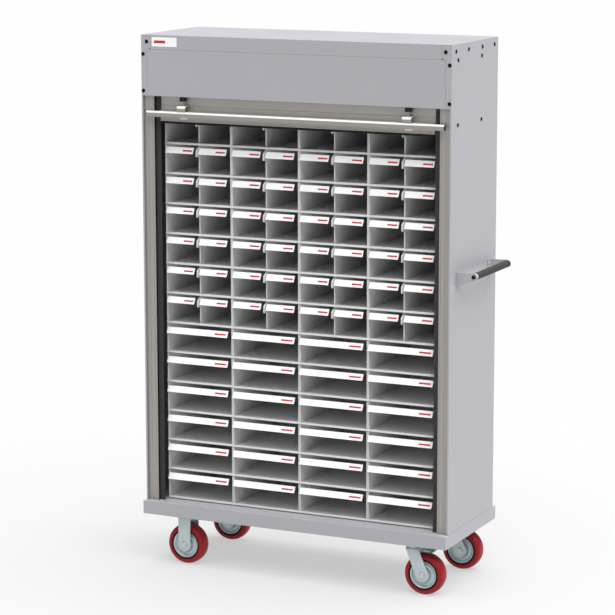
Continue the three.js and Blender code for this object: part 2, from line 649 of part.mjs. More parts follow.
const CASTORS = [
  ['front_left', RIGID_X, -TRACK_Y, false],
  ['rear_left', RIGID_X, TRACK_Y, false],
  ['front_right', SWIVEL_X + TRAIL, -TRACK_Y, true],
  ['rear_right', SWIVEL_X + TRAIL, TRACK_Y, true],
];

for (const [corner, x, y, swivels] of CASTORS) {
  const castor = new THREE.Group();
  castor.position.set(x, y, WHEEL_RADIUS);
  cart.add(castor);
  if (swivels) {
    addPiece(`${corner}_swivel_plate`, makeSwivelPlate(), ZINC, castor);
    addPiece(`${corner}_fork`, makeSwivelFork(), ZINC, castor);
    addPiece(`${corner}_brake_pedal`, makeBrakePedal(), PEDAL_GREEN, castor);
  } else {
    addPiece(`${corner}_fork`, makeRigidFork(), ZINC, castor);
  }
  addPiece(`${corner}_axle`, makeAxle(), STEEL, castor);
  addPiece(`${corner}_hub`, makeHub(), ZINC, castor);
  addPiece(`${corner}_tyre`, makeTyre(), TYRE_RED, castor);
}

// The origin is on the floor under the middle of the whole cart, handle included.
const reachRight = HANDLE_X + ARM_END_RADIUS;
const reachLeft = HALF_WIDTH + BASE_OVERHANG_SIDE;
cart.position.x = (reachLeft - reachRight) / 2;

export default cart;
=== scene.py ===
import json
import math
import random

import bmesh
import bpy
from mathutils import Matrix, Vector


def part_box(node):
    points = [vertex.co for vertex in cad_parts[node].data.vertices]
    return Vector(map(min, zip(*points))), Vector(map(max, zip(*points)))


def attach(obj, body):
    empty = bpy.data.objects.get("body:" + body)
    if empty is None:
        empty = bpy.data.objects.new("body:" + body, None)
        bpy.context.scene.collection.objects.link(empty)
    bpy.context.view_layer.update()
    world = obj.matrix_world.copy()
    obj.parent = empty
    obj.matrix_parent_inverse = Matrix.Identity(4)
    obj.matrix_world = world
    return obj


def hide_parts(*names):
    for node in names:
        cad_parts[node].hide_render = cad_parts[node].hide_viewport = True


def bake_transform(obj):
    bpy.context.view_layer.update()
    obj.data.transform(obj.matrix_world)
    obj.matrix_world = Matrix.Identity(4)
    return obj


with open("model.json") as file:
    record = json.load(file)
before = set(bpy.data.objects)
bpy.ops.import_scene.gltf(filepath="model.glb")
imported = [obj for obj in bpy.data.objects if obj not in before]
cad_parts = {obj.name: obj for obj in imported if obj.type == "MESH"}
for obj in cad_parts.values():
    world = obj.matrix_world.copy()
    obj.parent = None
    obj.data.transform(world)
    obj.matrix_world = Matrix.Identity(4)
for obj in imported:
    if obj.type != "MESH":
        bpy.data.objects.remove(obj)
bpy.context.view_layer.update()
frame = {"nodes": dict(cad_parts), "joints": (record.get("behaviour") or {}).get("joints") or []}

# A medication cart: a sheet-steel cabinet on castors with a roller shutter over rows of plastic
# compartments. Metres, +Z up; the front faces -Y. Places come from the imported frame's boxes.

MM = 0.001
CART = "cart_body"
SHUTTER = "shutter"

# ---------- places read from the frame ----------

left_panel_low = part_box("left_side_panel")[0]
right_panel_low, right_panel_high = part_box("right_side_panel")
CENTRE_X = (left_panel_low.x + right_panel_high.x) / 2
HALF_WIDTH = (right_panel_high.x - left_panel_low.x) / 2
FRONT_Y = right_panel_low.y
BACK_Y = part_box("back_panel")[1].y
BASE_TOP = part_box("base_tray")[1].z
ROOF_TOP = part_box("roof_panel")[1].z
SIDES = (("left", -1), ("right", 1))
CORNERS = ("front_left", "rear_left", "front_right", "rear_right")


# ---------- scene and mesh helpers ----------

def add_to_scene(thing):
    bpy.context.scene.collection.objects.link(thing)


def set_inputs(node, values):
    """Sets a shader node's inputs by name."""
    for name, value in values.items():
        node.inputs[name].default_value = value


def across(y, z, x):
    """A side-view point (y, z) at station x."""
    return (x, y, z)


def backwards(x, z, y):
    """A front-view point (x, z) at station y."""
    return (x, y, z)


def upwards(x, y, z):
    """A plan point (x, y) at height z."""
    return (x, y, z)


def arc(centre_u, centre_v, radius, start, end, steps=6):
    """Points on an arc from angle start to angle end, in degrees."""
    angles = [math.radians(start + (end - start) * i / steps) for i in range(steps + 1)]
    return [(centre_u + radius * math.cos(a), centre_v + radius * math.sin(a)) for a in angles]


def rounded_box(u0, u1, v0, v1, radii, steps=4):
    """A rectangle with rounded corners, radii in the order low-low, high-low, high-high, low-high."""
    corners = ((u0, v0, 1, 1, 180), (u1, v0, -1, 1, 270), (u1, v1, -1, -1, 0), (u0, v1, 1, -1, 90))
    points = []
    for (u, v, inward_u, inward_v, start), radius in zip(corners, radii):
        if radius:
            points += arc(u + inward_u * radius, v + inward_v * radius, radius, start, start + 90, steps)
        else:
            points.append((u, v))
    return points


def add_prism(bm, outline, place, start, end):
    """Carries a closed outline from one station to another."""
    rings = [[bm.verts.new(place(u, v, station)) for u, v in outline] for station in (start, end)]
    bm.faces.new(rings[0])
    bm.faces.new(list(reversed(rings[1])))
    count = len(outline)
    for i in range(count):
        j = (i + 1) % count
        bm.faces.new((rings[0][j], rings[0][i], rings[1][i], rings[1][j]))


def add_turned(bm, profile, place, centre_u, centre_v, segments):
    """Turns a profile of (radius, station) points about an axis. It closes on itself, or on the axis."""
    on_axis = profile[0][0] == 0 and profile[-1][0] == 0
    rings = []
    for radius, station in profile:
        if radius == 0:
            rings.append([bm.verts.new(place(centre_u, centre_v, station))])
            continue
        turns = [2 * math.pi * i / segments for i in range(segments)]
        rings.append([bm.verts.new(place(centre_u + radius * math.cos(a), centre_v + radius * math.sin(a),
                                         station)) for a in turns])
    pairs = list(zip(rings, rings[1:]))
    if not on_axis:
        pairs.append((rings[-1], rings[0]))
    for first, second in pairs:
        for i in range(segments):
            j = (i + 1) % segments
            corners = [first[i % len(first)], first[j % len(first)], second[j % len(second)],
                       second[i % len(second)]]
            distinct = list(dict.fromkeys(corners))
            if len(distinct) > 2:
                bm.faces.new(distinct)


def to_mesh(bm, name, smooth_angle=35):
    """The finished mesh, with its faces turned outwards and smooth except at its sharp edges."""
    bmesh.ops.recalc_face_normals(bm, faces=bm.faces)
    mesh = bpy.data.meshes.new(name)
    bm.to_mesh(mesh)
    bm.free()
    smooth(mesh, smooth_angle)
    return mesh


def smooth(mesh, smooth_angle=35):
    """Shades a mesh smooth, except along edges sharper than the angle in degrees."""
    mesh.shade_smooth()
    mesh.set_sharp_from_angle(angle=math.radians(smooth_angle))


def prism(name, outline, place, start, end, smooth_angle=35):
    """A closed outline carried from one station to another, as a mesh."""
    bm = bmesh.new()
    add_prism(bm, outline, place, start, end)
    return to_mesh(bm, name, smooth_angle)


def turned(name, profile, place, centre_u=0.0, centre_v=0.0, segments=48, smooth_angle=35):
    """A profile turned about an axis, as a mesh."""
    bm = bmesh.new()
    add_turned(bm, profile, place, centre_u, centre_v, segments)
    return to_mesh(bm, name, smooth_angle)


def combine(name, operation, meshes, bevel=None, smooth_angle=35):
    """The union, difference or intersection of closed meshes as one mesh, its edges rounded if asked."""
    made = []
    for mesh in meshes:
        part = bpy.data.objects.new(name, mesh)
        add_to_scene(part)
        made.append(part)
    for other in made[1:]:
        step = made[0].modifiers.new("join", "BOOLEAN")
        step.operation = operation
        step.object = other
        step.solver = "EXACT"
    if bevel:
        add_bevel(made[0], bevel)
    whole = made[0].evaluated_get(bpy.context.evaluated_depsgraph_get())
    mesh = bpy.data.meshes.new_from_object(whole)
    mesh.name = name
    for part in made:
        bpy.data.objects.remove(part)
    smooth(mesh, smooth_angle)
    return mesh


def add_bevel(piece, width):
    """Rounds a piece's edges and keeps its flat faces flat."""
    bevel = piece.modifiers.new("rounded_edges", "BEVEL")
    bevel.width = width
    bevel.segments = 2
    bevel.limit_method = "ANGLE"
    bevel.angle_limit = math.radians(40)
    piece.modifiers.new("flat_face_normals", "WEIGHTED_NORMAL").keep_sharp = True


def add_piece(name, mesh, material, body=CART, stands_for=(), place=None, bevel=None):
    """One piece of the cart, made of a mesh in the cart's frame, or in its own and put at place."""
    piece = bpy.data.objects.new(name, mesh)
    add_to_scene(piece)
    if not mesh.materials:
        mesh.materials.append(material)
    if place is not None:
        piece.matrix_world = place
    if bevel:
        add_bevel(piece, bevel)
    if stands_for:
        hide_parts(*stands_for)
    if body:
        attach(piece, body)
    return piece


def dress_node(node, material, bevel=None):
    """Gives a CAD node its material, and rounds the edges of its sheet metal."""
    piece = frame["nodes"][node]
    piece.data.materials.clear()
    piece.data.materials.append(material)
    if not bevel:
        return
    weld = piece.modifiers.new("weld", "WELD")
    weld.merge_threshold = 0.01 * MM
    flat = piece.modifiers.new("flat_faces", "DECIMATE")
    flat.decimate_type = "DISSOLVE"
    flat.angle_limit = math.radians(0.5)
    add_bevel(piece, bevel)
    normals = piece.modifiers.new("normals", "WEIGHTED_NORMAL")
    normals.keep_sharp = False


# ---------- materials ----------

def rgb(code):
    """A hexadecimal sRGB colour as linear values."""
    channels = [int(code[i:i + 2], 16) / 255 for i in (0, 2, 4)]
    linear = [c / 12.92 if c <= 0.04045 else ((c + 0.055) / 1.055) ** 2.4 for c in channels]
    return (*linear, 1.0)


class Finish:
    """A procedural material: a base colour with mottling, varied roughness and surface relief."""

    def __init__(self, name, colour, roughness, metallic=0.0, specular=0.5):
        self.material = bpy.data.materials.new(name)
        self.material.use_nodes = True
        self.tree = self.material.node_tree
        self.shader = self.tree.nodes["Principled BSDF"]
        set_inputs(self.shader, {"Base Color": rgb(colour), "Roughness": roughness, "Metallic": metallic,
                                 "Specular IOR Level": specular})
        self.material.diffuse_color = rgb(colour)
        self.colour = rgb(colour)
        self.roughness = roughness
        self.height = None

    def node(self, kind, **settings):
        made = self.tree.nodes.new(kind)
        for key, value in settings.items():
            setattr(made, key, value)
        return made

    def link(self, output, target):
        self.tree.links.new(output, target)

    def noise(self, scale, stretch=(1, 1, 1), detail=3.0):
        """Noise with features about 1 / scale metres across, stretched along an axis if asked."""
        where = self.node("ShaderNodeTexCoord")
        mapping = self.node("ShaderNodeMapping")
        set_inputs(mapping, {"Scale": stretch})
        texture = self.node("ShaderNodeTexNoise")
        set_inputs(texture, {"Scale": scale, "Detail": detail})
        self.link(where.outputs["Object"], mapping.inputs["Vector"])
        self.link(mapping.outputs["Vector"], texture.inputs["Vector"])
        return texture.outputs["Fac"]

    def cells(self, scale):
        """The distance to the middle of small cells about 1 / scale metres across."""
        where = self.node("ShaderNodeTexCoord")
        texture = self.node("ShaderNodeTexVoronoi")
        set_inputs(texture, {"Scale": scale})
        self.link(where.outputs["Object"], texture.inputs["Vector"])
        return texture.outputs["Distance"]

    def spread(self, value, low, high):
        """Maps noise around its middle onto low to high."""
        ramp = self.node("ShaderNodeMapRange")
        set_inputs(ramp, {"From Min": 0.3, "From Max": 0.7, "To Min": low, "To Max": high})
        self.link(value, ramp.inputs["Value"])
        return ramp.outputs["Result"]

    def mottle(self, value, amount):
        """Varies the base colour's brightness by a share, up and down."""
        scaled = self.node("ShaderNodeVectorMath", operation="SCALE")
        scaled.inputs[0].default_value = self.colour[:3]
        self.link(self.spread(value, 1 - amount, 1 + amount), scaled.inputs["Scale"])
        self.link(scaled.outputs["Vector"], self.shader.inputs["Base Color"])
        return self

    def vary_roughness(self, value, amount):
        self.link(self.spread(value, self.roughness - amount, self.roughness + amount),
                  self.shader.inputs["Roughness"])
        return self

    def relief(self, value, depth):
        """Raises the surface by up to depth metres where the value is high."""
        bump = self.node("ShaderNodeBump")
        set_inputs(bump, {"Strength": 1.0, "Distance": depth})
        self.link(value, bump.inputs["Height"])
        if self.height is not None:
            self.link(self.height, bump.inputs["Normal"])
        self.height = bump.outputs["Normal"]
        self.link(self.height, self.shader.inputs["Normal"])
        return self


def powder_coat(name, colour):
    finish = Finish(name, colour, roughness=0.42, specular=0.3)
    finish.mottle(finish.noise(2.5), 0.012)
    finish.vary_roughness(finish.noise(9), 0.04)
    finish.relief(finish.noise(420, detail=1.0), 0.012 * MM)
    return finish.material


def anodised(name, colour, roughness, metallic):
    finish = Finish(name, colour, roughness, metallic)
    grain = finish.noise(60, stretch=(0.05, 10, 10))
    finish.mottle(grain, 0.02)
    finish.vary_roughness(finish.noise(14), 0.04)
    finish.relief(grain, 0.003 * MM)
    return finish.material


def guide_aluminium(name, colour):
    finish = Finish(name, colour, 0.42, 0.35)
    grain = finish.noise(60, stretch=(10, 10, 0.05))
    finish.mottle(grain, 0.02)
    finish.relief(grain, 0.004 * MM)
    return finish.material


def brush_pile(name, colour):
    finish = Finish(name, colour, 0.85, specular=0.25)
    bristles = finish.noise(240, stretch=(0.25, 1, 3.5))
    finish.mottle(bristles, 0.35)
    finish.relief(bristles, 0.25 * MM)
    return finish.material


def moulded(name, colour, roughness=0.38, specular=0.4):
    finish = Finish(name, colour, roughness, specular=specular)
    finish.mottle(finish.noise(30), 0.015)
    finish.vary_roughness(finish.noise(90), 0.05)
    finish.relief(finish.noise(900, detail=1.0), 0.003 * MM)
    return finish.material


def plated_steel(name, colour, roughness, metallic):
    finish = Finish(name, colour, roughness, metallic)
    finish.mottle(finish.noise(45), 0.03)
    finish.vary_roughness(finish.noise(120), 0.05)
    finish.relief(finish.noise(500), 0.003 * MM)
    return finish.material


def polyurethane(name, colour):
    finish = Finish(name, colour, 0.42, specular=0.25)
    finish.mottle(finish.noise(40), 0.05)
    finish.vary_roughness(finish.noise(160), 0.08)
    finish.relief(finish.noise(700), 0.02 * MM)
    return finish.material


def foam(name, colour):
    finish = Finish(name, colour, 0.75, specular=0.3)
    pores = finish.cells(900)
    finish.mottle(finish.noise(300), 0.12)
    finish.relief(pores, 0.15 * MM)
    return finish.material


def paper(name, colour):
    finish = Finish(name, colour, 0.45, specular=0.3)
    finish.mottle(finish.noise(25), 0.01)
    finish.relief(finish.noise(1200), 0.01 * MM)
    return finish.material


PAINT = powder_coat("grey_powder_coat", "ADACB2")
GUIDE = guide_aluminium("guide_aluminium", "A5A19C")
SLAT = anodised("slat_aluminium", "B5B1AC", 0.42, 0.3)
# The rail and the stop brackets are taupe aluminium. The darker finish is that aluminium with painted shade,
# on their faces that look forwards and down. The pale finish is a painted highlight on their faces that look
# upwards. The darker finish also colours the stop studs with painted shade, and the pale finish is used plain
# on the front grip bush and the stop tabs.
SHADED_ALUMINIUM = anodised("painted_shade_aluminium", "9C9894", 0.45, 0.3)
PALE_ALUMINIUM_AND_HIGHLIGHT = anodised("bright_aluminium", "F0EEEA", 0.32, 0.1)
BRUSH = brush_pile("black_brush_pile", "3C3C3C")
BIN = moulded("light_grey_plastic", "D6D6D6")
CARD = paper("white_label_card", "FAFAFA")
MARK = paper("red_mark", "C8343C")
BLACK = moulded("black_plastic", "070707", roughness=0.6, specular=0.2)
RUBBER = foam("black_rubber", "151515")
ZINC = plated_steel("zinc_plate", "BECACD", 0.35, 0.4)
STEEL = plated_steel("bright_steel", "C4CACC", 0.22, 0.8)
GRIP = foam("grip_foam", "3C3C3B")
TYRE = polyurethane("red_polyurethane", "93191E")
PEDAL = moulded("green_plastic", "4F8F62")

# ---------- cabinet shell: the frame's own sheet metal ----------

PANEL_BEND = 1.1 * MM
for node in ("base_tray", "left_side_panel", "right_side_panel", "back_panel", "roof_panel",
             "header_cover", "shutter_box_floor", "handle_front_bracket", "handle_rear_bracket"):
    dress_node(node, PAINT, bevel=0.5 * MM if node in ("shutter_box_floor", "back_panel") else PANEL_BEND)
for node in ("left_drum_bracket", "right_drum_bracket", "shutter_drum"):
    dress_node(node, ZINC)
for node in ("shutter_shaft", "shutter_spring", "handle_bar"):
    dress_node(node, STEEL)


def screw_mesh(radius, height):
    """A low domed head with a round-bottomed socket, along +Z."""
    socket = 0.34 * radius
    profile = [(0, 0.35 * height), (socket, 0.35 * height), (1.15 * socket, height)]
    profile += [(0.7 * radius, 0.93 * height), (0.93 * radius, 0.66 * height), (radius, 0.3 * height),
                (radius, 0), (0, 0)]
    return turned("screw_head", profile, upwards, segments=24)


def facing(normal, point):
    """A frame at a point whose Z axis is the normal."""
    turn = Vector(normal).to_track_quat("Z", "Y").to_matrix().to_4x4()
    return Matrix.Translation(point) @ turn


SCREW = screw_mesh(6 * MM, 2.4 * MM)
TAB_SCREW_INSET = 20 * MM
FLANGE_SCREW_INSET = 7 * MM
TOP_SCREW_DROP = 21.7 * MM
FRONT_SCREW_DROPS = (60.7 * MM, 175.7 * MM)
SIDE_ROW_Y = (-157.5 * MM, -56.5 * MM, 56.5 * MM, 157.5 * MM)
SIDE_PAIR_Y = (-140 * MM, 52.5 * MM)
SIDE_PAIR_DROPS = (48.7 * MM, 242.7 * MM)
BACK_SCREW_INSET = 12 * MM
BACK_SCREW_ROWS = 6
BACK_SCREW_MARGIN = 45 * MM
BACK_TOP_SCREWS = 5


def add_screws(name, normal, points):
    for number, point in enumerate(points, 1):
        add_piece(f"{name}_{number}", SCREW, BLACK, place=facing(normal, point))


for side, sign in SIDES:
    edge = CENTRE_X + sign * HALF_WIDTH
    add_screws(f"{side}_front_screw", (0, -1, 0),
               [(edge - sign * TAB_SCREW_INSET, FRONT_Y, ROOF_TOP - TOP_SCREW_DROP)]
               + [(edge - sign * FLANGE_SCREW_INSET, FRONT_Y, ROOF_TOP - drop) for drop in FRONT_SCREW_DROPS])
    add_screws(f"{side}_side_screw", (sign, 0, 0),
               [(edge, y, ROOF_TOP - TOP_SCREW_DROP) for y in SIDE_ROW_Y]
               + [(edge, y, ROOF_TOP - drop) for drop in SIDE_PAIR_DROPS for y in SIDE_PAIR_Y])
    low = BASE_TOP + BACK_SCREW_MARGIN
    step = (ROOF_TOP - BACK_SCREW_MARGIN - low) / (BACK_SCREW_ROWS - 1)
    add_screws(f"{side}_back_screw", (0, 1, 0),
               [(edge - sign * BACK_SCREW_INSET, BACK_Y, low + i * step) for i in range(BACK_SCREW_ROWS)])
spacing = 2 * (HALF_WIDTH - BACK_SCREW_INSET) / (BACK_TOP_SCREWS + 1)
add_screws("top_back_screw", (0, 1, 0),
           [(CENTRE_X - HALF_WIDTH + BACK_SCREW_INSET + i * spacing, BACK_Y, ROOF_TOP - TOP_SCREW_DROP)
            for i in range(1, BACK_TOP_SCREWS + 1)])

# ---------- name plate on the header: plain white with a red bar ----------

PLATE_WIDTH = 88 * MM
PLATE_HEIGHT = 29 * MM
PLATE_THICKNESS = 0.3 * MM
PLATE_LEFT = 38.3 * MM
PLATE_DROP = 7 * MM
PLATE_MARK = (8 * MM, 48 * MM, 10 * MM, 19 * MM)  # left and right, bottom and top


def card_with_mark(name, low_x, high_x, length, place, thickness, mark):
    """A card in its own plane: x along it, v up its face; a rectangle of it is a mark of its own colour."""
    mark_x0, mark_x1, mark_v0, mark_v1 = mark
    xs = (low_x, mark_x0, mark_x1, high_x)
    vs = (0, mark_v0, mark_v1, length)
    bm = bmesh.new()
    front = [[bm.verts.new(place(x, v, 0)) for x in xs] for v in vs]
    back = [[bm.verts.new(place(x, v, thickness)) for x in xs] for v in vs]
    for i in range(3):
        for j in range(3):
            face = bm.faces.new((front[i][j], front[i][j + 1], front[i + 1][j + 1], front[i + 1][j]))
            face.material_index = 1 if (i, j) == (1, 1) else 0
            bm.faces.new((back[i][j], back[i + 1][j], back[i + 1][j + 1], back[i][j + 1]))
    rim = [(0, j) for j in range(3)] + [(i, 3) for i in range(3)]
    rim += [(3, j) for j in range(3, 0, -1)] + [(i, 0) for i in range(3, 0, -1)]
    for (i, j), (k, m) in zip(rim, rim[1:] + rim[:1]):
        bm.faces.new((front[i][j], back[i][j], back[k][m], front[k][m]))
    mesh = to_mesh(bm, name, smooth_angle=20)
    mesh.materials.append(CARD)
    mesh.materials.append(MARK)
    return mesh


def on_header(x, v, depth):
    """A point of the name plate, x and v from its lower left corner."""
    left = CENTRE_X - HALF_WIDTH + PLATE_LEFT
    bottom = ROOF_TOP - PLATE_DROP - PLATE_HEIGHT
    return (left + x, FRONT_Y - PLATE_THICKNESS + depth, bottom + v)


add_piece("header_name_plate", card_with_mark(
    "header_name_plate", 0, PLATE_WIDTH, PLATE_HEIGHT, on_header, PLATE_THICKNESS, PLATE_MARK), CARD)

# ---------- compartments ----------

LOWER_ROWS = 8
LARGE_ROWS = 6
COLUMNS = 4
WALL = 4 * MM
DIVIDER = 4.5 * MM
DIVIDER_SETBACK = 8.3 * MM
REST = 0.3 * MM  # between a tray and the one it stands on
TRAY_OVERLAP = 0.5 * MM  # how far the section stops short of the side walls' outer faces
TRAY_EDGE = 0.45 * MM

lower_low, lower_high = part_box("lower_bin_stack_1")
upper_low, upper_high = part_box("upper_bin_stack_1")
ROW = (upper_low.z - lower_low.z) / LOWER_ROWS
UPPER_ROWS = round((upper_high.z - upper_low.z) / ROW)
TRAY_WIDTH = lower_high.x - lower_low.x
TRAY_DEPTH = lower_high.y - lower_low.y
BIN_FRONT = lower_low.y

# Tray sections are about the tray's own origin: the middle of its width, the plane of the wall
# fronts, and the level that it stands on.


def tray_side_profile():
    """Floor, rolled front lip and back wall in one side section."""
    height = ROW - REST
    sole = [(4 * MM, 2.4 * MM), (7 * MM, REST), (TRAY_DEPTH, REST)]
    back = [(TRAY_DEPTH, height), (TRAY_DEPTH - WALL, height)]
    corner = arc(TRAY_DEPTH - WALL - 5 * MM, WALL + 5 * MM, 5 * MM, 0, -90)
    rise = arc(8 * MM, WALL + 3.5 * MM, 3.5 * MM, 270, 205, 4)
    crest = arc(1.1 * MM, 6.4 * MM, 2.2 * MM, 20, 165, 8)
    foot = arc(-1.7 * MM, 3.3 * MM, 0.9 * MM, 165, 270, 3)
    return sole + back + corner + rise + crest + foot


def wall_plan(low, high, front=0.0):
    """A wall seen from above, its front edge rounded."""
    radius = 0.48 * (high - low)
    return rounded_box(low, high, front, TRAY_DEPTH, (radius, radius, 0, 0))


def ear_profile():
    """The hook on a divider's front, between two labels."""
    root = DIVIDER_SETBACK + 4 * MM
    return ([(root, 61.5 * MM)] + arc(-7 * MM, 65 * MM, 3.5 * MM, 270, 180, 5)
            + arc(-8.5 * MM, 81.5 * MM, 2 * MM, 180, 118, 3) + [(DIVIDER_SETBACK, 93 * MM), (root, 93 * MM)])


def tray_mesh(name, divided):
    """A tray: its section between two side walls, and a divider with its hook if it has one."""
    half = TRAY_WIDTH / 2
    top = ROW - REST
    parts = [prism(name, tray_side_profile(), across, -half + TRAY_OVERLAP, half - TRAY_OVERLAP),
             prism(name, wall_plan(-half, -half + WALL), upwards, REST, top),
             prism(name, wall_plan(half - WALL, half), upwards, REST, top)]
    if divided:
        parts.append(prism(name, wall_plan(-DIVIDER / 2, DIVIDER / 2, DIVIDER_SETBACK), upwards, REST, top))
        parts.append(prism(name, ear_profile(), across, -DIVIDER / 2, DIVIDER / 2))
    return combine(name, "UNION", parts, bevel=TRAY_EDGE)


# the ends of a label's face in the side view, in a tray's own frame
LABEL_TOP = (-2 * MM, 89.6 * MM)
LABEL_BOTTOM = (-12 * MM, 70.9 * MM)
LARGE_LABEL_DROP = 3.4 * MM
SMALL_LABEL_SPANS = (("left", -110 * MM, -12.7 * MM), ("right", 6.7 * MM, 103.4 * MM))
LARGE_LABEL_LEFT = 4.6 * MM  # in from the tray's own edges
LARGE_LABEL_RIGHT = 13.4 * MM
SMALL_MARK = (33 * MM, 4 * MM)  # length, and margin on its right
LARGE_MARK = (40 * MM, 6 * MM)
LABEL_THICKNESS = 1.2 * MM
LABEL_FACE = math.dist(LABEL_TOP, LABEL_BOTTOM)
MARK_BAND = (7 * MM, 12.5 * MM)


def on_label(x, v, depth):
    """A point on the label's leaning face, v up from its lower edge."""
    share = v / LABEL_FACE
    up_y = (LABEL_TOP[0] - LABEL_BOTTOM[0]) / LABEL_FACE
    up_z = (LABEL_TOP[1] - LABEL_BOTTOM[1]) / LABEL_FACE
    y = LABEL_BOTTOM[0] + share * (LABEL_TOP[0] - LABEL_BOTTOM[0]) + up_z * depth
    z = LABEL_BOTTOM[1] + share * (LABEL_TOP[1] - LABEL_BOTTOM[1]) - up_y * depth
    return (x, y, z)


def label_mesh(name, low_x, high_x, mark_size):
    """A white label strip with a red mark near its right end."""
    length, margin = mark_size
    mark = (high_x - margin - length, high_x - margin, *MARK_BAND)
    return card_with_mark(name, low_x, high_x, LABEL_FACE, on_label, LABEL_THICKNESS, mark)


SMALL_TRAY = tray_mesh("divided_tray", divided=True)
LARGE_TRAY = tray_mesh("open_tray", divided=False)
half_tray = TRAY_WIDTH / 2
SMALL_LABELS = [label_mesh(f"small_label_{side}", low_x, high_x, SMALL_MARK)
                for side, low_x, high_x in SMALL_LABEL_SPANS]
LARGE_LABEL = label_mesh("large_label", -half_tray + LARGE_LABEL_LEFT, half_tray - LARGE_LABEL_RIGHT,
                         LARGE_MARK)

for column in range(1, COLUMNS + 1):
    low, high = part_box(f"lower_bin_stack_{column}")
    for row in range(LOWER_ROWS + UPPER_ROWS):
        place = Matrix.Translation(((low.x + high.x) / 2, BIN_FRONT, low.z + row * ROW))
        stack = "lower" if row < LOWER_ROWS else "upper"
        label_row = f"{column}_{row + 1:02d}"
        large = row < LARGE_ROWS
        add_piece(f"tray_{label_row}", LARGE_TRAY if large else SMALL_TRAY, BIN,
                  stands_for=[f"{stack}_bin_stack_{column}"], place=place)
        if row == LOWER_ROWS + UPPER_ROWS - 1:
            continue
        if large:
            place = Matrix.Translation((0, 0, -LARGE_LABEL_DROP)) @ place
        for number, mesh in enumerate([LARGE_LABEL] if large else SMALL_LABELS, 1):
            add_piece(f"label_{label_row}_{number}", mesh, CARD, place=place)

# ---------- shutter guides and brush strips ----------

GUIDE_WALL = 2 * MM
GUIDE_EDGE = 0.8 * MM
GROOVE_STARTS = (17.8 * MM, 32.2 * MM)  # along the guide's face, from its outer edge
GROOVE_WIDTH = 1.6 * MM
GROOVE_FLANK = 0.4 * MM
GROOVE_DEPTH = 0.9 * MM
HOLDER_WIDTH = 15 * MM
HOLDER_HOOK = 2 * MM
HOLDER_CHAMFER = 1.2 * MM
PILE_THICKNESS = 2.7 * MM
PILE_ROOT = 2.3 * MM
TUFT = 2.2 * MM


def guide_plan(low, high, sign):
    """The guide's section from above: a grooved front face, an outer wall and a back wall."""
    outer = high.x if sign > 0 else low.x
    inner = low.x if sign > 0 else high.x
    inside = outer - sign * GUIDE_WALL
    front, back = low.y, high.y
    width = abs(outer - inner)
    # offsets along the face from the outer edge, with how far the face lies back there
    face = [(0, 0)]
    for start in GROOVE_STARTS:
        end = start + GROOVE_WIDTH
        face += [(start, 0), (start + GROOVE_FLANK, GROOVE_DEPTH)]
        face += [(end - GROOVE_FLANK, GROOVE_DEPTH), (end, 0)]
    face += [(width - GUIDE_EDGE, 0), (width, GUIDE_EDGE)]
    outline = [(outer - sign * offset, front + depth) for offset, depth in face]
    outline += [(inner, front + GUIDE_WALL), (inside, front + GUIDE_WALL), (inside, back - GUIDE_WALL),
                (inner, back - GUIDE_WALL), (inner, back), (outer, back)]
    return outline


def holder_plan(low, high, sign):
    """The brush holder from above: a bar behind the guide's face that hooks round the root of the pile."""
    outer = high.x if sign > 0 else low.x
    inner = outer - sign * HOLDER_WIDTH
    pile = high.y - PILE_THICKNESS
    hook = outer - sign * HOLDER_HOOK
    return [(inner, low.y + HOLDER_CHAMFER), (inner + sign * HOLDER_CHAMFER, low.y), (outer, low.y),
            (outer, high.y), (hook, high.y), (hook, pile), (inner, pile)]


def brush_mesh(name, low, high, sign, seed):
    """A flat strip whose free edge is a row of bristle tufts, built in short lengths from the top down."""
    chance = random.Random(seed)
    count = int((high.z - low.z) / TUFT)
    root = (high.x if sign > 0 else low.x) - sign * PILE_ROOT
    tip = low.x if sign > 0 else high.x
    front = high.y - PILE_THICKNESS + 0.1 * MM
    edge = []
    for i in range(count, -1, -1):
        z = low.z + i * (high.z - low.z) / count
        edge.append((tip + sign * chance.uniform(0.0, 0.5) * MM, z))
        if i:
            edge.append((tip + sign * chance.uniform(1.2, 2.0) * MM, z - TUFT / 2))
    bm = bmesh.new()
    rings = [[bm.verts.new(point) for point in
              ((root, front, z), (x, front, z), (x, high.y, z), (root, high.y, z))] for x, z in edge]
    for above, below in zip(rings, rings[1:]):
        for i in range(4):
            j = (i + 1) % 4
            bm.faces.new((above[i], above[j], below[j], below[i]))
    bm.faces.new(rings[0])
    bm.faces.new(list(reversed(rings[-1])))
    return to_mesh(bm, name)


for side, sign in SIDES:
    low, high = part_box(f"{side}_guide_rail")
    guide = prism(f"{side}_guide", guide_plan(low, high, sign), upwards, low.z, high.z)
    add_piece(f"{side}_guide_extrusion", guide, GUIDE,
              stands_for=[f"{side}_guide_rail"])
    low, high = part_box(f"{side}_brush_strip")
    pile = brush_mesh(f"{side}_brush", low, high, sign, seed=sign + 5)
    add_piece(f"{side}_brush", pile, BRUSH, stands_for=[f"{side}_brush_strip"])
    holder = prism(f"{side}_holder", holder_plan(low, high, sign), upwards, low.z, high.z)
    add_piece(f"{side}_brush_holder", holder, BLACK)

# ---------- curtain: one slatted sheet that draws out of the header ----------

SLAT_PITCH = 40 * MM
JOINT_BELOW_HEADER = 29 * MM
SLAT_THICKNESS = 8 * MM
SLAT_CROWN = 0.7 * MM
JOINT_WIDTH = 1.6 * MM
JOINT_DEPTH = 1.6 * MM
CURTAIN_CLEARANCE = 0.2 * MM
RIGID_COVER = 8 * MM  # how much of the rigid part of the curtain the header hides

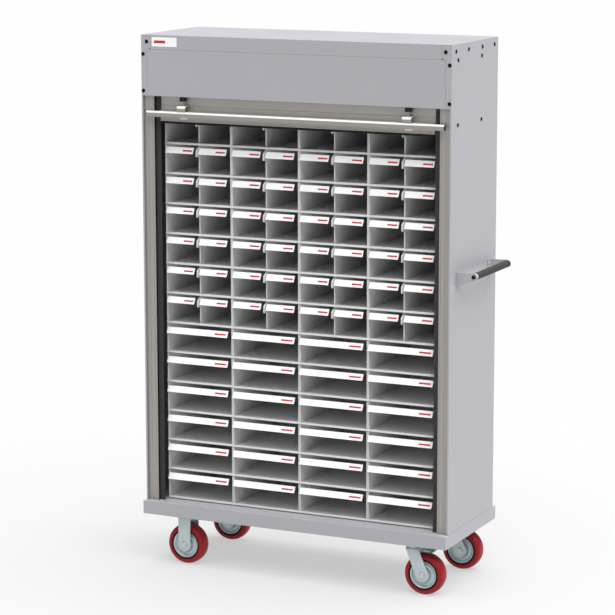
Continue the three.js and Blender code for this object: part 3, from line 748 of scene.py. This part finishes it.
leaf_low, leaf_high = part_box("curtain_leaf_1")
header_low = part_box("header_cover")[0]
travel = next(j for j in frame["joints"] if j["name"] == "shutter_slide")["range_m"][1]
curtain_top = leaf_high.z
curtain_bottom = leaf_low.z
rigid_top = header_low.z + RIGID_COVER  # below this the curtain moves as one with the bottom bar


def drawn_height(rest_height):
    """Where a point of the curtain at this height lies when the shutter is fully down."""
    t = min(max((curtain_top - rest_height) / (curtain_top - rigid_top), 0.0), 1.0)
    return rest_height - t * t * (3 - 2 * t) * travel


def rest_height(drawn):
    """The inverse of drawn_height, by bisection."""
    low, high = curtain_bottom, curtain_top
    for _ in range(50):
        middle = (low + high) / 2
        if drawn_height(middle) > drawn:
            high = middle
        else:
            low = middle
    return (low + high) / 2


def slat_section():
    """Front-face points (depth behind the crown, drawn height) from the bottom of the curtain to its top."""
    joint = header_low.z - JOINT_BELOW_HEADER - travel
    first = joint - SLAT_PITCH
    low, high = drawn_height(curtain_bottom), drawn_height(curtain_top)
    points = [(SLAT_CROWN, low)]
    base = first
    while base < high:
        shape = [(JOINT_DEPTH, 0.0), (JOINT_DEPTH, JOINT_WIDTH * 0.5), (SLAT_CROWN, JOINT_WIDTH)]
        rise = SLAT_PITCH - 2 * JOINT_WIDTH
        for i in range(1, 6):
            share = i / 6
            shape.append((SLAT_CROWN * (2 * share - 1) ** 2, JOINT_WIDTH + share * rise))
        shape.append((SLAT_CROWN, SLAT_PITCH - JOINT_WIDTH * 0.7))
        points += [(depth, base + up) for depth, up in shape if low < base + up < high]
        base += SLAT_PITCH
    return points + [(SLAT_CROWN, high)]


def make_curtain():
    """The curtain as one sheet that stretches out of the header as the shutter comes down."""
    front = leaf_low.y + CURTAIN_CLEARANCE
    section = slat_section()
    outline = [(front + depth, rest_height(height)) for depth, height in section]
    outline += [(front + SLAT_THICKNESS - depth, rest_height(height)) for depth, height in reversed(section)]
    bm = bmesh.new()
    rings = [[bm.verts.new((x, y, z)) for y, z in outline] for x in (leaf_low.x, leaf_high.x)]
    count = len(outline)
    for i in range(count):
        j = (i + 1) % count
        bm.faces.new((rings[0][i], rings[0][j], rings[1][j], rings[1][i]))
    for ring in rings:
        for i in range(len(section) - 1):
            bm.faces.new((ring[i], ring[i + 1], ring[count - 2 - i], ring[count - 1 - i]))
    mesh = to_mesh(bm, "curtain", smooth_angle=30)
    curtain = add_piece("slatted_curtain", mesh, SLAT, body=None,
                        stands_for=[f"curtain_leaf_{i}" for i in range(1, 8)])
    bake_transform(curtain)


make_curtain()

# ---------- bottom bar, pull rail and stops ----------

bar_low, bar_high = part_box("bottom_bar")
rail_low, rail_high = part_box("pull_rail")


def bottom_bar_profile():
    """Side section: a flared foot, two ridges and the beam behind the pull rail."""
    lip = bar_high.y - 6 * MM
    beam_front = rail_high.y + 0.3 * MM
    ridge = 1.1 * MM
    foot = arc(lip - 0.4 * MM, bar_low.z + 1.6 * MM, 1.6 * MM, 270, 180, 4)
    outline = [(bar_high.y, bar_low.z)] + foot + [(lip, bar_low.z + 5.6 * MM)]
    for root, crest in ((6.2 * MM, 7 * MM), (10.2 * MM, 11 * MM)):
        outline += [(lip, bar_low.z + root), (lip - ridge, bar_low.z + crest - 0.5 * MM),
                    (lip - ridge, bar_low.z + crest + 0.5 * MM), (lip, bar_low.z + crest + 1.2 * MM)]
    outline += [(lip, rail_low.z), (beam_front, rail_low.z), (beam_front, bar_high.z)]
    return outline + [(bar_high.y, bar_high.z)]


add_piece("bottom_bar_extrusion",
          prism("bottom_bar", bottom_bar_profile(), across, bar_low.x, bar_high.x), SLAT, body=SHUTTER,
          stands_for=["bottom_bar"])

seal_low, seal_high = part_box("bottom_seal")
seal_middle = (seal_low.y + seal_high.y) / 2
seal_half = (seal_high.y - seal_low.y) / 2
seal_section = ([(seal_high.y, seal_high.z), (seal_low.y, seal_high.z)]
                + arc(seal_middle, seal_low.z + seal_half, seal_half, 180, 360, 10))
add_piece("bottom_seal_strip", prism("bottom_seal", seal_section, across, seal_low.x, seal_high.x), RUBBER,
          body=SHUTTER, stands_for=["bottom_seal"])

RAIL_CAP = 2 * MM
RAIL_NOSE = 7.5 * MM


def rail_section(shrink=0.0):
    """A rounded top edge over an upright front face and a flat back, all drawn in by shrink."""
    front = rail_low.y + shrink
    top = rail_high.z - shrink
    bottom = rail_low.z + shrink
    nose = arc(front + RAIL_NOSE - shrink, top - RAIL_NOSE + shrink, RAIL_NOSE - shrink, 90, 180, 12)
    return ([(rail_high.y - shrink, top)] + nose + arc(front + 2 * MM, bottom + 2 * MM, 2 * MM, 180, 270, 4)
            + [(rail_high.y - shrink, bottom)])


def paint_highlight_and_shade(mesh, least_slope=0.2):
    """Paints a highlight on the faces that look upwards with the pale finish, and painted shade on the rest
    with the darker finish.
    """
    mesh.materials.append(SHADED_ALUMINIUM)
    mesh.materials.append(PALE_ALUMINIUM_AND_HIGHLIGHT)
    for face in mesh.polygons:
        face.material_index = 1 if face.normal.z > least_slope else 0
    return mesh


# The pull rail's upward faces carry a painted highlight, and its other faces painted shade.
rail = prism("pull_rail", rail_section(), across, rail_low.x + RAIL_CAP, rail_high.x - RAIL_CAP)
add_piece("pull_rail_extrusion", paint_highlight_and_shade(rail), SHADED_ALUMINIUM, body=SHUTTER,
          stands_for=["pull_rail"])
for side, start in (("left", rail_low.x), ("right", rail_high.x - RAIL_CAP)):
    add_piece(f"{side}_rail_cap", prism("rail_cap", rail_section(0.4 * MM), across, start, start + RAIL_CAP),
              BLACK, body=SHUTTER, bevel=0.5 * MM)

STOP_SHEET = 2 * MM
LEDGE_DROP = 29 * MM
LEDGE_RISE = 7 * MM
LEDGE_DEPTH = 4 * MM
BRACKET_SETBACK = 3 * MM
STUD_SETBACK = 19 * MM
STUD_RADIUS = 3.5 * MM
NUT_RADIUS = 7 * MM
NUT_HEIGHT = 4 * MM
BUFFER_RADIUS = 11.2 * MM
BUFFER_LENGTH = 13 * MM
BUFFER_DROP = 0.5 * MM
TAB_HALF_WIDTH = 13 * MM
TAB_BOTTOM = 8.2 * MM
TAB_SETBACKS = (9.5 * MM, 7.4 * MM)  # its faces, forward of the back of the bottom bar


def bracket_profile(low, high):
    """A bent strip: up from the rail, over a steep shoulder and back along a ledge under the stud."""
    ledge_top = header_low.z - LEDGE_DROP
    front = low.y + BRACKET_SETBACK
    edge = ledge_top - LEDGE_RISE
    foot = rail_high.z + 0.3 * MM
    step = front + LEDGE_DEPTH
    ledge = [(front + 0.25 * LEDGE_DEPTH, edge + 0.5 * LEDGE_RISE), (step, ledge_top)]
    outside = [(front, foot), (front, edge)] + ledge + [(high.y, ledge_top + 1 * MM)]
    inside = [(high.y, ledge_top + 1 * MM - STOP_SHEET), (step + STOP_SHEET, ledge_top - STOP_SHEET),
              (front + STOP_SHEET, edge - STOP_SHEET / 2), (front + STOP_SHEET, foot)]
    return outside + inside


def add_stop(side):
    """A bracket on the rail with a stud, a nut and a rubber buffer, and a tab on the bottom bar below."""
    low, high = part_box(f"{side}_stop")
    middle = (low.x + high.x) / 2
    stud_y = low.y + STUD_SETBACK
    # The bracket's upward faces carry a painted highlight, and its other faces painted shade.
    bracket = paint_highlight_and_shade(prism("stop_bracket", bracket_profile(low, high), across, low.x, high.x))
    add_piece(f"{side}_stop_bracket", bracket, SHADED_ALUMINIUM, body=SHUTTER,
              stands_for=[f"{side}_stop"], bevel=0.4 * MM)
    top = high.z - BUFFER_DROP
    base = top - BUFFER_LENGTH
    nut_bottom = base - NUT_HEIGHT
    profile = [(0, nut_bottom), (NUT_RADIUS, nut_bottom), (NUT_RADIUS, base), (0, base)]
    nut = turned("stop_nut", profile, upwards, middle, stud_y, segments=6)
    add_piece(f"{side}_stop_nut", nut, SLAT, body=SHUTTER, bevel=0.6 * MM)
    seat = header_low.z - LEDGE_DROP - 3 * MM
    profile = [(0, seat), (STUD_RADIUS, seat), (STUD_RADIUS, nut_bottom), (0, nut_bottom)]
    stud = turned("stop_stud", profile, upwards, middle, stud_y, segments=24)
    # The stud is coloured with painted shade, in the darker aluminium finish.
    add_piece(f"{side}_stop_stud", stud, SHADED_ALUMINIUM, body=SHUTTER)
    profile = [(0, base), (BUFFER_RADIUS - 1.2 * MM, base), (BUFFER_RADIUS, base + 1.4 * MM),
               (BUFFER_RADIUS, top - 3 * MM), (BUFFER_RADIUS - 1.2 * MM, top - 0.8 * MM),
               (BUFFER_RADIUS - 3.2 * MM, top), (0, top)]
    rubber = turned("stop_buffer", profile, upwards, middle, stud_y)
    add_piece(f"{side}_stop_buffer", rubber, RUBBER, body=SHUTTER)
    outline = rounded_box(middle - TAB_HALF_WIDTH, middle + TAB_HALF_WIDTH, bar_low.z + TAB_BOTTOM,
                          rail_low.z - 1 * MM, (1.5 * MM,) * 4)
    front, back = (bar_high.y - setback for setback in TAB_SETBACKS)
    add_piece(f"{side}_stop_tab", prism("stop_tab", outline, backwards, front, back), PALE_ALUMINIUM_AND_HIGHLIGHT, body=SHUTTER,
              bevel=0.4 * MM)


for side, _ in SIDES:
    add_stop(side)

# ---------- push handle ----------

grip_low, grip_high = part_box("handle_grip")
bar_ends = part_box("handle_bar")
HANDLE_X = (grip_low.x + grip_high.x) / 2
HANDLE_Z = (grip_low.z + grip_high.z) / 2
GRIP_RADIUS = (grip_high.z - grip_low.z) / 2
GRIP_EDGE = 2.5 * MM
BUSH_LENGTH = 8 * MM
BUSH_RADIUS = 10.4 * MM
BORE = 8.3 * MM
FLANGE_THICKNESS = 3 * MM
FLANGE_SCREW_INSETS = (9 * MM, 14 * MM)  # from the grip's front and rear ends


def grip_profile():
    """A foam sleeve with rounded ends."""
    start = grip_low.y + BUSH_LENGTH
    end = grip_high.y - BUSH_LENGTH
    edge = GRIP_EDGE
    left = [(GRIP_RADIUS - edge + u, start + edge + v) for v, u in arc(0, 0, edge, 180, 90, 5)]
    right = [(GRIP_RADIUS - edge + u, end - edge + v) for v, u in arc(0, 0, edge, 90, 0, 5)]
    return [(BORE, start)] + left + right + [(BORE, end)]


def along_y(u, v, station):
    """A side-view point (x, z) of something turned about an axis along Y, at station y."""
    return (u, station, v)


add_piece("foam_grip", turned("foam_grip", grip_profile(), along_y, HANDLE_X, HANDLE_Z, segments=64),
          GRIP, stands_for=["handle_grip"])
for end, start, sign in (("front", grip_low.y, 1), ("rear", grip_high.y, -1)):
    shoulder = start + sign * (BUSH_LENGTH - 0.4 * MM)
    bush = [(BORE, start), (BUSH_RADIUS - 1 * MM, start), (BUSH_RADIUS, start + sign * 1 * MM),
            (BUSH_RADIUS, start + sign * (BUSH_LENGTH - 1 * MM)), (BUSH_RADIUS - 0.6 * MM, shoulder),
            (BORE, shoulder)]
    add_piece(f"{end}_grip_bush", turned("grip_bush", bush, along_y, HANDLE_X, HANDLE_Z),
              PALE_ALUMINIUM_AND_HIGHLIGHT if sign > 0 else BLACK)
    face = bar_ends[0].y if sign > 0 else bar_ends[1].y
    add_piece(f"{end}_handle_screw", screw_mesh(6.6 * MM, 3 * MM), BLACK,
              place=facing((0, -sign, 0), (HANDLE_X, face, HANDLE_Z)))

flange_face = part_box("handle_front_bracket")[0].x + FLANGE_THICKNESS
front_inset, rear_inset = FLANGE_SCREW_INSETS
add_screws("front_bracket_screw", (1, 0, 0),
           [(flange_face, grip_low.y + front_inset, HANDLE_Z - drop) for drop in (1 * MM, 24 * MM)])
add_piece("rear_bracket_screw", screw_mesh(4.5 * MM, 2.5 * MM), STEEL,
          place=facing((1, 0, 0), (flange_face, grip_high.y - rear_inset, HANDLE_Z)))

# ---------- castors ----------

WHEEL_SEGMENTS = 96
HUB_BORE = 6.3 * MM
HUB_RIM = 43.5 * MM
HUB_BOSS = 26.4 * MM
LINER_RIM = 49 * MM
RING_GAP = 0.2 * MM  # between the hub, the liner and the tyre
FORK_OUTER = 30.5 * MM
FORK_SHEET = 3 * MM
FORK_BEND = 7 * MM
FORK_FOOT = 24 * MM
LEG_RADIUS = 21.5 * MM
TOP_PLATE = 3 * MM
KINGPIN_BORE = 7.4 * MM
CROWN_RADIUS = 27 * MM


def wheel_ring(half):
    """Mirrors a half profile of (radius, depth from the middle) about the wheel's middle plane."""
    return half + [(radius, -depth) for radius, depth in reversed(half)]


def hub_profile(bore, rim, boss):
    """A pressed disc with a boss round the axle, a raised ring half-way out and an outer rim."""
    half = [(bore, boss), (11.5 * MM, boss), (13 * MM, boss - 1.2 * MM), (14.2 * MM, 18 * MM),
            (16 * MM, 16.2 * MM), (20 * MM, 15.4 * MM), (23.2 * MM, 15.9 * MM), (25 * MM, 17.9 * MM),
            (27 * MM, 18.8 * MM), (29 * MM, 17.9 * MM), (30.8 * MM, 15.9 * MM), (34 * MM, 15.4 * MM),
            (36.6 * MM, 16.6 * MM), (38.4 * MM, 20.6 * MM), (40 * MM, 22.3 * MM), (rim - 0.6 * MM, 22.7 * MM),
            (rim, 22.1 * MM)]
    return wheel_ring(half)


def liner_profile(inner, outer):
    return wheel_ring([(inner, 22.8 * MM), (inner + 0.8 * MM, 23.4 * MM), (outer - 0.8 * MM, 23.6 * MM),
                       (outer, 23 * MM)])


def tyre_profile(inner, radius):
    half = [(inner, 23.2 * MM), (inner + 1 * MM, 24 * MM), (radius - 11.5 * MM, 24 * MM),
            (radius - 9 * MM, 23.6 * MM), (radius - 6 * MM, 22 * MM), (radius - 3.2 * MM, 19.4 * MM),
            (radius - 1.5 * MM, 15.6 * MM), (radius - 0.6 * MM, 11 * MM), (radius - 0.15 * MM, 6 * MM),
            (radius, 2 * MM)]
    return wheel_ring(half)


def leg_outline(top_x, top_z):
    """The fork leg's side outline: straight sides that run down to a round end at the axle."""
    lean = math.degrees(math.atan2(top_x, top_z))
    end = arc(0, 0, LEG_RADIUS, 360 - lean, 180 - lean, 18)
    return [(top_x + LEG_RADIUS, top_z)] + end + [(top_x - LEG_RADIUS, top_z)]


def fork_section(top_z):
    """The bent U of the fork, seen along the wheel's rolling direction."""
    bend = FORK_BEND
    inner = FORK_OUTER - FORK_SHEET
    inner_bend = bend - FORK_SHEET
    outside = ([(-FORK_OUTER, -FORK_FOOT)] + arc(-FORK_OUTER + bend, top_z - bend, bend, 180, 90, 6)
               + arc(FORK_OUTER - bend, top_z - bend, bend, 90, 0, 6) + [(FORK_OUTER, -FORK_FOOT)])
    inside = ([(inner, -FORK_FOOT)] + arc(inner - inner_bend, top_z - bend, inner_bend, 0, 90, 5)
              + arc(-inner + inner_bend, top_z - bend, inner_bend, 90, 180, 5) + [(-inner, -FORK_FOOT)])
    return outside + inside


def fork_mesh(name, top_x, top_z):
    """The fork: its bent U, cut to the outline of the legs."""
    reach = 60 * MM
    section = prism(name, fork_section(top_z), across, -reach + top_x / 2, reach + top_x / 2)
    outline = prism(name, leg_outline(top_x, top_z + 1 * MM), backwards, -FORK_OUTER - 2 * MM,
                    FORK_OUTER + 2 * MM)
    return combine(name, "INTERSECT", [section, outline], bevel=0.7 * MM)


def add_wheel(corner, wheel_body, centre):
    place = Matrix.Translation(centre)
    add_piece(f"{corner}_wheel_hub", HUB, ZINC, body=wheel_body,
              stands_for=[f"{corner}_hub"], place=place)
    add_piece(f"{corner}_wheel_liner", LINER, BLACK, body=wheel_body, place=place)
    add_piece(f"{corner}_wheel_tyre", TYRE_MESH, TYRE, body=wheel_body,
              stands_for=[f"{corner}_tyre"], place=place)


tyre_low, tyre_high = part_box("front_left_tyre")
WHEEL_RADIUS = (tyre_high.z - tyre_low.z) / 2
HUB = turned("wheel_hub", hub_profile(HUB_BORE, HUB_RIM, HUB_BOSS), along_y, segments=WHEEL_SEGMENTS,
             smooth_angle=50)
LINER = turned("wheel_liner", liner_profile(HUB_RIM + RING_GAP, LINER_RIM), along_y, segments=WHEEL_SEGMENTS)
TYRE_MESH = turned("wheel_tyre", tyre_profile(LINER_RIM + RING_GAP, WHEEL_RADIUS), along_y,
                   segments=WHEEL_SEGMENTS, smooth_angle=50)


def plate_mesh(low, high):
    """A rigid castor's top plate with rounded corners."""
    outline = rounded_box(low.x, high.x, low.y, high.y, (7 * MM,) * 4)
    return prism("top_plate", outline, upwards, high.z - TOP_PLATE, high.z)


def axle_mesh():
    """A plain shank with a washer and a hexagon at each end."""
    face = FORK_OUTER + 0.3 * MM
    parts = [turned("shank", [(0, -face), (5.9 * MM, -face), (5.9 * MM, face), (0, face)], along_y,
                    segments=32)]
    for sign in (-1, 1):
        washer = [(0, sign * (face - 0.2 * MM)), (11.5 * MM, sign * (face - 0.2 * MM)),
                  (11.5 * MM, sign * (face + 1.4 * MM)), (0, sign * (face + 1.4 * MM))]
        head = [(0, sign * (face + 1.2 * MM)), (9.4 * MM, sign * (face + 1.2 * MM)),
                (9.4 * MM, sign * (face + 4.4 * MM)), (8 * MM, sign * (face + 5.6 * MM)),
                (0, sign * (face + 5.6 * MM))]
        parts.append(turned("washer", washer, along_y, segments=32))
        parts.append(turned("head", head, along_y, segments=6))
    return combine("axle", "UNION", parts, bevel=0.4 * MM)


AXLE = axle_mesh()


def add_castor(corner, swivels):
    """A castor: its wheel, axle, fork and plate, and a brake pedal if it swivels."""
    tyre_low, tyre_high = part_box(f"{corner}_tyre")
    centre = (tyre_low + tyre_high) / 2
    place = Matrix.Translation(centre)
    fork_low, fork_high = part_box(f"{corner}_fork")
    fork_body = f"{corner}_swivel" if swivels else CART
    add_wheel(corner, f"{corner}_wheel", centre)
    add_piece(f"{corner}_axle_bolt", AXLE, STEEL, body=fork_body,
              stands_for=[f"{corner}_axle"], place=place)
    if not swivels:
        leg = fork_mesh(f"{corner}_leg", 0.0, fork_high.z - TOP_PLATE - centre.z)
        add_piece(f"{corner}_rigid_fork", leg, ZINC, stands_for=[f"{corner}_fork"],
                  place=place)
        add_piece(f"{corner}_top_plate", plate_mesh(fork_low, fork_high), ZINC,
                  bevel=0.6 * MM)
        return
    plate_low, plate_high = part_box(f"{corner}_swivel_plate")
    kingpin_x = (plate_low.x + plate_high.x) / 2
    crown_bottom = fork_high.z - 6 * MM
    profile = [(KINGPIN_BORE, crown_bottom), (CROWN_RADIUS - 3 * MM, crown_bottom),
               (CROWN_RADIUS, crown_bottom + 2 * MM), (CROWN_RADIUS, fork_high.z),
               (KINGPIN_BORE, fork_high.z)]
    crown = turned("crown", profile, upwards, kingpin_x, centre.y, segments=64)
    leg = fork_mesh(f"{corner}_leg", kingpin_x - centre.x, fork_high.z - FORK_SHEET - centre.z)
    add_piece(f"{corner}_swivel_fork", leg, ZINC, body=fork_body,
              stands_for=[f"{corner}_fork"], place=place)
    add_piece(f"{corner}_crown", crown, ZINC, body=fork_body)
    dress_node(f"{corner}_swivel_plate", ZINC, bevel=0.5 * MM)
    add_pedal(corner, *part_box(f"{corner}_brake_pedal"))


def add_pedal(corner, low, high):
    """A steel lever on its knuckle, with a green moulded toe cap and a black tread pad under the tip."""
    knuckle = 4 * MM
    pivot_x = low.x + knuckle
    pivot_z = low.z + knuckle
    toe = high.x
    body = f"{corner}_pedal"
    cap_start = toe - 27 * MM
    outline = (arc(pivot_x, pivot_z, knuckle, 100, 265, 8)
               + [(toe - 6 * MM, pivot_z + 0.6 * MM), (toe - 6 * MM, pivot_z + 3 * MM)])
    lever = prism("pedal_lever", outline, backwards, low.y + 3 * MM, high.y - 3 * MM)
    add_piece(f"{corner}_pedal_lever", lever, ZINC, body=body, bevel=0.5 * MM)
    outline = ([(cap_start, pivot_z + 2.7 * MM), (toe - 1.5 * MM, pivot_z + 2.7 * MM)]
               + arc(toe - 2 * MM, high.z - 2 * MM, 2 * MM, -30, 90, 5)
               + [(cap_start + 3 * MM, high.z - 0.6 * MM)])
    cap = prism("foot_pedal", outline, backwards, low.y, high.y)
    add_piece(f"{corner}_foot_pedal", cap, PEDAL, body=body,
              stands_for=[f"{corner}_brake_pedal"], bevel=0.8 * MM)
    outline = [(toe - 14 * MM, pivot_z - 1.6 * MM), (toe - 3 * MM, pivot_z - 0.4 * MM),
               (toe - 3 * MM, pivot_z + 2.5 * MM), (toe - 14 * MM, pivot_z + 1.2 * MM)]
    pad = prism("pedal_pad", outline, backwards, low.y + 1 * MM, high.y - 1 * MM)
    add_piece(f"{corner}_pedal_pad", pad, BLACK, body=body, bevel=0.5 * MM)


for corner in CORNERS:
    add_castor(corner, swivels=corner.endswith("right"))

# ---------- floor, light and camera ----------

FLOOR_HALF = 400.0
bm = bmesh.new()
bm.faces.new([bm.verts.new((x, y, 0)) for x, y in
              ((-FLOOR_HALF, -FLOOR_HALF), (FLOOR_HALF, -FLOOR_HALF), (FLOOR_HALF, FLOOR_HALF),
               (-FLOOR_HALF, FLOOR_HALF))])
floor = bpy.data.objects.new("floor", to_mesh(bm, "floor"))
floor_finish = Finish("lit_white_floor", "8A8A8A", 0.9, specular=0.1)
set_inputs(floor_finish.shader, {"Emission Color": (1, 1, 1, 1), "Emission Strength": 0.5})
floor_finish.mottle(floor_finish.noise(1.5), 0.004)
floor.data.materials.append(floor_finish.material)
add_to_scene(floor)


def add_sun(name, direction, strength, softness):
    """A soft sun that shines from a direction."""
    data = bpy.data.lights.new(name, "SUN")
    data.energy = strength
    data.angle = math.radians(softness)
    sun = bpy.data.objects.new(name, data)
    sun.rotation_mode = "QUATERNION"
    sun.rotation_quaternion = Vector(direction).to_track_quat("Z", "Y")
    add_to_scene(sun)


add_sun("key_light", (0.23, -0.06, 0.97), 5.6, 88)

world = bpy.data.worlds.new("studio")
world.use_nodes = True
set_inputs(world.node_tree.nodes["Background"], {"Color": (1, 1, 1, 1), "Strength": 0.2})
bpy.context.scene.world = world
bpy.context.scene.view_settings.view_transform = "Standard"


def make_camera(location, yaw, pitch, roll, lens):
    """A camera that looks along -back, with its right-hand side level but for the roll."""
    y, p, r = (math.radians(angle) for angle in (yaw, pitch, roll))
    back = Vector((math.sin(y) * math.cos(p), -math.cos(y) * math.cos(p), math.sin(p)))
    right = Vector((math.cos(y), math.sin(y), 0))
    up = back.cross(right)
    turned_right = math.cos(r) * right + math.sin(r) * up
    turned_up = math.cos(r) * up - math.sin(r) * right
    data = bpy.data.cameras.new("camera")
    data.lens = lens
    data.sensor_width = 36
    data.clip_start = 0.1
    data.clip_end = 300
    camera = bpy.data.objects.new("camera", data)
    rotation = Matrix((turned_right, turned_up, back)).transposed().to_4x4()
    camera.matrix_world = Matrix.Translation(location) @ rotation
    add_to_scene(camera)
    bpy.context.scene.camera = camera


make_camera(location=(3.3115, -7.1731, 2.2833), yaw=25.258, pitch=10.317, roll=-0.070, lens=148.47)
